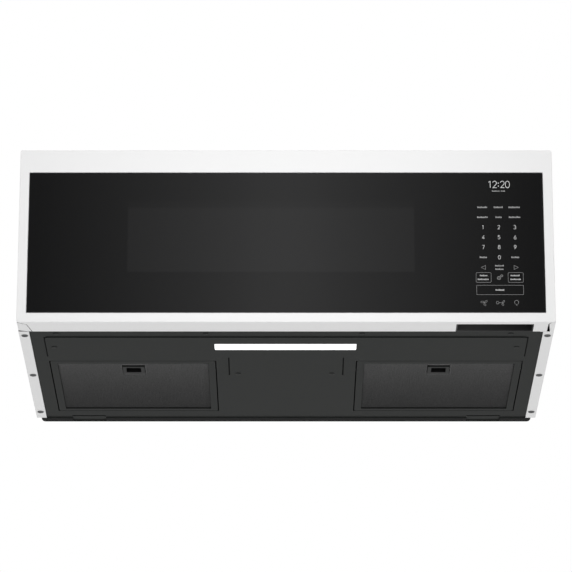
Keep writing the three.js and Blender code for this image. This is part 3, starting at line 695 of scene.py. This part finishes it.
clock = [[], []]
for ch, x in (("1", 287.6), ("2", 294.3), ("2", 305.3), ("0", 312.6)):
    digit(ch, x, 202.6, 6.5, 0.66, clock)
clock[0] += [circle(302.8, 205.4, 0.75, 12), circle(302.8, 209.9, 0.75, 12)]
ink_mesh("print_clock", clock, M["display"])


def legend(x0, x1, z0, z1, lead=True):
    """A plain bar code of short upright ticks in the place of a key's legend: no letters."""
    mid = (z0 + z1) / 2
    z0, z1 = mid + (z0 - mid) * 0.80, mid + (z1 - mid) * 0.80
    out = []
    pitch = 1.62
    n = max(3, round((x1 - x0) / pitch))
    pitch = (x1 - x0) / n
    for i in range(n):
        top = z1 if (i == 0 and lead) or i % 4 == 3 else z0 + (z1 - z0) * 0.78
        out.append(round_box(x0 + i * pitch + 0.12, x0 + (i + 1) * pitch - 0.42, z0, top, 0.3))
    return out


marks = []
for x0, x1 in ((272.4, 286.6), (295.6, 308.7), (316.7, 333.0)):
    marks += legend(x0, x1, 171.4, 174.7)
for x0, x1 in ((271.7, 287.0), (297.8, 306.9), (316.8, 333.4)):
    marks += legend(x0, x1, 156.3, 159.6)
marks += legend(293.5, 304.7, 196.6, 199.0) + legend(306.3, 312.3, 196.6, 199.0)
marks += legend(274.4, 284.9, 95.6, 98.9) + legend(319.1, 330.5, 95.6, 98.9)
marks += legend(295.7, 308.5, 83.0, 86.0) + legend(296.2, 307.9, 77.8, 80.8)
ink_mesh("print_key_legends", [marks], M["mark"])

bright = legend(274.0, 284.9, 68.3, 71.2) + legend(270.9, 286.6, 62.6, 65.5) + legend(317.6, 330.6, 68.3, 71.2) + legend(317.2, 332.2, 62.6, 65.5)
bright += legend(295.9, 308.4, 46.5, 49.6)
ink_mesh("print_box_legends", [bright], M["ink"])

# outlined keys, arrows and the pictograms of the lower row
lines = [[], []]
for b in ((268.7, 290.0, 59.4, 74.1, 1.8), (314.0, 335.4, 59.4, 74.1, 1.8), (269.2, 335.3, 41.0, 55.0, 0.7)):
    lines[0] += ribbon(round_box(*b), 0.50, True)
lines[0] += ribbon([(282.3, 84.9), (276.3, 81.8), (282.3, 78.7)], 0.46, True)
lines[0] += ribbon([(322.7, 84.9), (328.7, 81.8), (322.7, 78.7)], 0.46, True)
lines[0] += ribbon(circle(300.9, 65.9, 2.3, 18), 0.8, True) + [circle(300.9, 65.9, 0.9, 10)]
lines[1] += ribbon(circle(304.9, 69.2, 1.5, 14), 0.75, True)


def blades(cx, cz, r, angles):
    out = []
    for a in angles:
        c = (cx + r * 0.6 * math.cos(math.radians(a)), cz + r * 0.6 * math.sin(math.radians(a)))
        pts = []
        for i in range(14):
            t = math.radians(360 * i / 14)
            u, v = r * 0.42 * math.cos(t), r * 0.24 * math.sin(t)
            ca, sa = math.cos(math.radians(a + 16)), math.sin(math.radians(a + 16))
            pts.append((c[0] + u * ca - v * sa, c[1] + u * sa + v * ca))
        out += ribbon(pts, 0.5, True)
    return out


lines[0] += blades(279.6, 29.0, 5.0, (35, 160, 285)) + [circle(279.6, 29.0, 0.75, 10)]
lines[0] += blades(305.0, 29.0, 4.4, (40, 285)) + [circle(305.0, 29.0, 0.75, 10)]
lines[1] += ribbon(circle(298.4, 29.0, 1.9, 16), 0.6, True) + ribbon([(300.6, 29.0), (303.9, 29.0)], 0.55)
lines[0] += ribbon(circle(325.2, 29.6, 2.9, 20, -55, 235), 0.65)
lines[1] += ribbon([(323.9, 26.2), (326.5, 26.2)], 0.6) + ribbon([(324.3, 25.0), (326.1, 25.0)], 0.6)
ink_mesh("print_key_outlines", lines, M["line"])

# --------------------------------------------------------------- grease filters
def filter_mesh(side, sx):
    """Crossed zigzag strands of expanded metal on the filter's underside."""
    cx = sx * 223.3
    bm = bmesh.new()
    x0, x1, y0, y1 = -109.2, 109.2, 192.0, 406.2
    pitch_x, pitch_y = 5.2, 2.6
    ny = int((y1 - y0) / pitch_y)
    nx = int((x1 - x0) / (pitch_x / 2))
    w, t = 0.55, 0.45
    zt = 3.3

    def inside_latch(x, y):
        return abs(x) < 17.6 and 202.0 < y < 244.8

    # alternate rows are mirrored, so they meet in diamonds
    for j in range(ny):
        yc = y0 + pitch_y * (j + 0.5)
        sgn = 1 if j % 2 else -1
        run = []
        for i in range(nx + 1):
            x = x0 + i * (x1 - x0) / nx
            y = yc + sgn * (pitch_y * 0.5 if i % 2 else -pitch_y * 0.5)
            y = min(max(y, y0), y1)
            if inside_latch(x, y):
                if len(run) > 1:
                    strand(bm, run, w, t, cx)
                run = []
                continue
            run.append((x, y, (zt - 0.5 if abs(x) < 18.6 and y < 203 else zt) + (0.21 if i % 2 else -0.21) * sgn))
        if len(run) > 1:
            strand(bm, run, w, t, cx)
    bmesh.ops.recalc_face_normals(bm, faces=bm.faces)
    return from_bmesh(f"filter_strands_{side}", bm, f"grease_filter_{side}", M["strand"], angle=60)


def strand(bm, run, w, t, cx):
    prev = None
    for x, y, z in run:
        a = [bm.verts.new(P(cx + x, y + v, z + 0.4 + u)) for u, v in ((-t / 2, -w / 2), (-t / 2, w / 2), (t / 2, 0.0))]
        if prev:
            for k in range(3):
                m = (k + 1) % 3
                bm.faces.new((prev[k], prev[m], a[m], a[k]))
        else:
            bm.faces.new(a)
        prev = a
    bm.faces.new(list(reversed(prev)))


def pad_material():
    g = Graph("filter_pad_painted_depth_shade")
    v = g.node("ShaderNodeTexVoronoi")
    v.inputs["Scale"].default_value = 420.0
    g.link(g.pos(), v.inputs["Vector"])
    f = v.outputs["Distance"]
    tone = g.ramp(f, [(0.05, (0.0479,) * 3), (0.5, (0.1133,) * 3)])
    # painted shade: the pad darkens towards the wall
    g.link(times(g, tone, painted_depth_shade(g, 1.0, 0.40)), g.bsdf.inputs["Base Color"])
    g.set(metal=0.2, rough=0.65, spec=0.2)
    g.bump(f, 0.6, 0.0004)
    return g.m


M["pad"] = pad_material()
for s, sx in (("left", -1), ("right", 1)):
    refine(f"filter_mesh_{s}", M["pad"], 0.0)
    filter_mesh(s, sx)

# ------------------------------------------------------------------- fasteners
def screw(node, head_r, head_h, mat, tip, depth):
    """Pan head with a cross recess, and its shank."""
    lo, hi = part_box(node)
    c = (lo + hi) / 2
    base = Matrix.Translation((c.x, c.y, lo.z))
    bm = bmesh.new()
    # a low dome: flat in the middle, rolled over in the outer fifth
    prof = [(0, 0.0), (head_r * 0.45, 0.01), (head_r * 0.72, 0.06)]
    for i in range(1, 6):
        a = math.radians(90 * i / 5)
        prof.append((head_r * (0.78 + 0.22 * math.sin(a)), 0.1 + head_h * 0.7 * (1 - math.cos(a))))
    prof += [(head_r, head_h), (1.85, head_h), (1.85, tip - 0.6), (1.3, tip), (0, tip)]
    lathe(bm, prof, 24, base)
    o = from_bmesh(node + "_head", bm, body_of(node), mat, (node,))
    # recess: a cross of two thin wells cut into the head
    cutter = bmesh.new()
    a, b = head_r * 0.48 / 1000, 0.42 / 1000
    cross = [(a, b), (b, b), (b, a), (-b, a), (-b, b), (-a, b), (-a, -b), (-b, -b), (-b, -a), (b, -a), (b, -b), (a, -b)]
    turn = base @ Matrix.Rotation(math.radians(20), 4, "Z")
    lower = [cutter.verts.new(turn @ Vector((u, v, -0.001))) for u, v in cross]
    upper = [cutter.verts.new(turn @ Vector((u, v, depth / 1000))) for u, v in cross]
    cutter.faces.new(list(reversed(lower)))
    cutter.faces.new(upper)
    for i in range(12):
        j = (i + 1) % 12
        cutter.faces.new((lower[i], lower[j], upper[j], upper[i]))
    bmesh.ops.recalc_face_normals(cutter, faces=cutter.faces)
    me = bpy.data.meshes.new("cutter")
    cutter.to_mesh(me)
    cutter.free()
    co = bpy.data.objects.new("cutter", me)
    scene.collection.objects.link(co)
    mod = o.modifiers.new("recess", "BOOLEAN")
    mod.object = co
    mod.operation = "DIFFERENCE"
    mod.solver = "EXACT"
    bpy.context.view_layer.update()
    dg = bpy.context.evaluated_depsgraph_get()
    new = bpy.data.meshes.new_from_object(o.evaluated_get(dg))
    o.modifiers.clear()
    o.data = new
    smooth(new, 35)
    bpy.data.objects.remove(co)
    return o


for n in list(N):
    if n.startswith("wrap_screw_"):
        screw(n, 4.75, 1.1, M["screw"], 8.9, 0.5)
    elif n.startswith("front_screw_"):
        screw(n, 3.95, 1.1, M["dark_screw"], 8.4, 0.3)
    elif n.startswith("cover_screw_"):
        screw(n, 3.95, 1.1, M["dark_screw"], 8.1, 0.3)

# ------------------------------------------------------------------- turntable
TTX, TTY = -22.0, 228.5
bm = bmesh.new()
z0 = 92.6
prof = [(0, z0 + 0.05), (60, z0 + 0.05), (132, z0 + 0.05), (138, z0 + 0.2), (146, z0 + 1.2), (152, z0 + 4.6), (156.5, z0 + 8.6), (159.4, z0 + 10.6), (159.9, z0 + 11.5),
        (159.3, z0 + 12.3), (158, z0 + 12.45), (156, z0 + 12.1), (152.6, z0 + 10.0), (147, z0 + 6.0), (141, z0 + 4.3), (134, z0 + 3.78), (118, z0 + 3.75), (117, z0 + 3.3),
        (113, z0 + 3.3), (112, z0 + 3.75), (60, z0 + 3.75), (0, z0 + 3.75)]
lathe(bm, prof, 96, Matrix.Translation(P(TTX, TTY, 0)))
for k in range(3):
    t = math.radians(60 + 120 * k)
    m = Matrix.Translation(P(TTX + 16 * math.cos(t), TTY + 16 * math.sin(t), 0))
    lathe(bm, [(0, z0 - 3.4), (2.4, z0 - 3.4), (2.9, z0 - 2.8), (2.9, z0 + 0.6), (0, z0 + 0.6)], 20, m)
from_bmesh("glass_tray_turned", bm, "turntable", M["tray"], ("glass_tray",), angle=50)
for k in range(3):
    node = f"roller_{k + 1}"
    a = math.radians(120 * k)
    m = Matrix.Translation(P(TTX + 99.5 * math.cos(a), TTY + 99.5 * math.sin(a), 85.3)) @ Matrix.Rotation(a, 4, "Z") @ Matrix.Rotation(math.radians(90), 4, "Y")
    bm = bmesh.new()
    lathe(bm, [(2.3, -3.9), (5.9, -3.9), (6.7, -3.2), (6.85, -2.2), (6.85, 2.2), (6.7, 3.2), (5.9, 3.9), (2.3, 3.9)], 40, m)
    from_bmesh(node + "_turned", bm, node, M["nylon"], (node,), angle=50)

# ---------------------------------------------------------- light, floor, camera
def card(name, centre, normal, w, h, power_fn, glossy_only=True):
    me = bpy.data.meshes.new(name)
    me.from_pydata([(-w / 2, -h / 2, 0), (w / 2, -h / 2, 0), (w / 2, h / 2, 0), (-w / 2, h / 2, 0)], [], [(0, 1, 2, 3)])
    o = bpy.data.objects.new(name, me)
    scene.collection.objects.link(o)
    o.matrix_world = Matrix.Translation(centre) @ Vector(normal).to_track_quat("Z", "Y").to_matrix().to_4x4()
    mat = bpy.data.materials.new(name)
    mat.use_nodes = True
    t = mat.node_tree
    t.nodes.clear()
    out = t.nodes.new("ShaderNodeOutputMaterial")
    em = t.nodes.new("ShaderNodeEmission")
    t.links.new(em.outputs[0], out.inputs[0])
    power_fn(t, em)
    me.materials.append(mat)
    o.visible_camera = False
    if glossy_only:
        o.visible_diffuse = False
        o.visible_transmission = False
        o.visible_shadow = False
    return o


def glass_card_power(t, em):
    """Brightest in the middle and falling off to each side, even up and down."""
    tc = t.nodes.new("ShaderNodeTexCoord")
    sp = t.nodes.new("ShaderNodeSeparateXYZ")
    t.links.new(tc.outputs["Object"], sp.inputs[0])
    ab = t.nodes.new("ShaderNodeMath"); ab.operation = "ABSOLUTE"
    t.links.new(sp.outputs[0], ab.inputs[0])
    mr = t.nodes.new("ShaderNodeMapRange")
    mr.inputs["From Min"].default_value = 0.0
    mr.inputs["From Max"].default_value = 1.6
    t.links.new(ab.outputs[0], mr.inputs["Value"])
    r = t.nodes.new("ShaderNodeValToRGB")
    e = r.color_ramp.elements
    stops = [(0.0, 0.70), (0.04, 0.66), (0.073, 0.575), (0.129, 0.455), (0.184, 0.35), (0.24, 0.25), (0.30, 0.165), (0.35, 0.10), (0.5, 0.06), (1.0, 0.05)]
    while len(e) < len(stops):
        e.new(0.5)
    for el, (p, v) in zip(e, stops):
        el.position = p
        el.color = (v, v, v, 1)
    t.links.new(mr.outputs[0], r.inputs[0])
    t.links.new(r.outputs[0], em.inputs["Color"])
    em.inputs["Strength"].default_value = 1.0


# the front glass mirrors this card, which hangs up and in front
el = math.radians(19.66)
card("glass_reflection_card", Vector((0, -0.465 - 3.0 * math.cos(el), 0.0 + 3.0 * math.sin(el))), (0, math.cos(el), -math.sin(el)), 3.2, 2.2, glass_card_power)

world = bpy.data.worlds.new("studio")
scene.world = world
world.use_nodes = True
wt = world.node_tree
wt.nodes.clear()
wo = wt.nodes.new("ShaderNodeOutputWorld")
tc = wt.nodes.new("ShaderNodeTexCoord")
sp = wt.nodes.new("ShaderNodeSeparateXYZ")
wt.links.new(tc.outputs["Generated"], sp.inputs[0])
rz = wt.nodes.new("ShaderNodeMapRange")
rz.inputs["From Min"].default_value, rz.inputs["From Max"].default_value = -1.0, 1.0
wt.links.new(sp.outputs[2], rz.inputs["Value"])
ramp = wt.nodes.new("ShaderNodeValToRGB")
e = ramp.color_ramp.elements
e[0].position, e[0].color = 0.0, (0.87, 0.87, 0.87, 1)
e[1].position, e[1].color = 1.0, (1.0, 1.0, 1.0, 1)
wt.links.new(rz.outputs[0], ramp.inputs[0])


def wmath(op, a, b=None, clamp=False):
    n = wt.nodes.new("ShaderNodeMath")
    n.operation, n.use_clamp = op, clamp
    for i, v in enumerate((a, b)):
        if isinstance(v, (int, float)):
            n.inputs[i].default_value = v
        elif v is not None:
            wt.links.new(v, n.inputs[i])
    return n.outputs[0]


# diffuse light: even all round, weaker from straight in front, where the soft lamp takes over
front = wmath("MULTIPLY", sp.outputs[1], -1.0, True)
front = wmath("MULTIPLY", front, front)
dim = wmath("SUBTRACT", 1.0, wmath("MULTIPLY", front, 0.8))
lit = wt.nodes.new("ShaderNodeBackground")
wt.links.new(wmath("MULTIPLY", dim, 1.09), lit.inputs["Strength"])
wt.links.new(ramp.outputs[0], lit.inputs["Color"])
# what glossy surfaces mirror: a bright room in front and above, a dark one behind the wall plane and below it
gy = wt.nodes.new("ShaderNodeMapRange")
gy.inputs["From Min"].default_value, gy.inputs["From Max"].default_value = -1.0, 1.0
wt.links.new(wmath("SUBTRACT", wmath("MULTIPLY", sp.outputs[2], 0.35), sp.outputs[1]), gy.inputs["Value"])
gr = wt.nodes.new("ShaderNodeValToRGB")
e = gr.color_ramp.elements
e[0].position, e[0].color = 0.0, (0.04, 0.04, 0.04, 1)
e[1].position, e[1].color = 1.0, (0.95, 0.95, 0.95, 1)
m = e.new(0.35)
m.color = (0.22, 0.22, 0.22, 1)
m = e.new(0.6)
m.color = (0.7, 0.7, 0.7, 1)
wt.links.new(gy.outputs[0], gr.inputs[0])
mirror = wt.nodes.new("ShaderNodeBackground")
wt.links.new(gr.outputs[0], mirror.inputs["Color"])
seen = wt.nodes.new("ShaderNodeBackground")
seen.inputs["Color"].default_value = (1, 1, 1, 1)
seen.inputs["Strength"].default_value = 1.0
lp = wt.nodes.new("ShaderNodeLightPath")
mg = wt.nodes.new("ShaderNodeMixShader")
wt.links.new(lp.outputs["Is Glossy Ray"], mg.inputs[0])
wt.links.new(lit.outputs[0], mg.inputs[1])
wt.links.new(mirror.outputs[0], mg.inputs[2])
mx = wt.nodes.new("ShaderNodeMixShader")
wt.links.new(lp.outputs["Is Camera Ray"], mx.inputs[0])
wt.links.new(mg.outputs[0], mx.inputs[1])
wt.links.new(seen.outputs[0], mx.inputs[2])
wt.links.new(mx.outputs[0], wo.inputs["Surface"])


def area(name, loc, target, size, power, size_y=None):
    d = bpy.data.lights.new(name, "AREA")
    d.energy = power
    d.shape = "RECTANGLE"
    d.size = size
    d.size_y = size_y or size
    o = bpy.data.objects.new(name, d)
    scene.collection.objects.link(o)
    o.location = loc
    o.rotation_euler = (Vector(target) - Vector(loc)).to_track_quat("-Z", "Y").to_euler()
    o.visible_camera = False
    o.visible_glossy = False
    return o


area("front_soft", (0.0, -0.465 - 0.85, 0.02), (0, -0.465, 0), 0.5, 3.95, 0.35)

me = bpy.data.meshes.new("floor")
bm = bmesh.new()
bmesh.ops.create_grid(bm, x_segments=2, y_segments=2, size=30.0)
bm.to_mesh(me)
bm.free()
floor = bpy.data.objects.new("floor", me)
scene.collection.objects.link(floor)
floor.location = (0, 0, -8.0)
me.materials.append(painted("pale_floor", (0.9, 0.9, 0.9), 0.01, 0.6, 20, 0.0))

cam = bpy.data.cameras.new("camera")
cam.lens = 3593.0 / 572.0 * 36.0
cam.sensor_width = 36.0
cam.sensor_fit = "HORIZONTAL"
cam.clip_start = 0.05
cam.clip_end = 200.0
cam.shift_x = -0.1 / 572.0
co = bpy.data.objects.new("camera", cam)
scene.collection.objects.link(co)
co.location = P(0.0, -4780.0, -1653.9)
co.rotation_euler = (math.radians(90 + 19.66), 0, 0)
scene.camera = co

scene.view_settings.view_transform = "Standard"
scene.view_settings.look = "None"
scene.view_settings.exposure = 0.0
scene.view_settings.gamma = 1.0
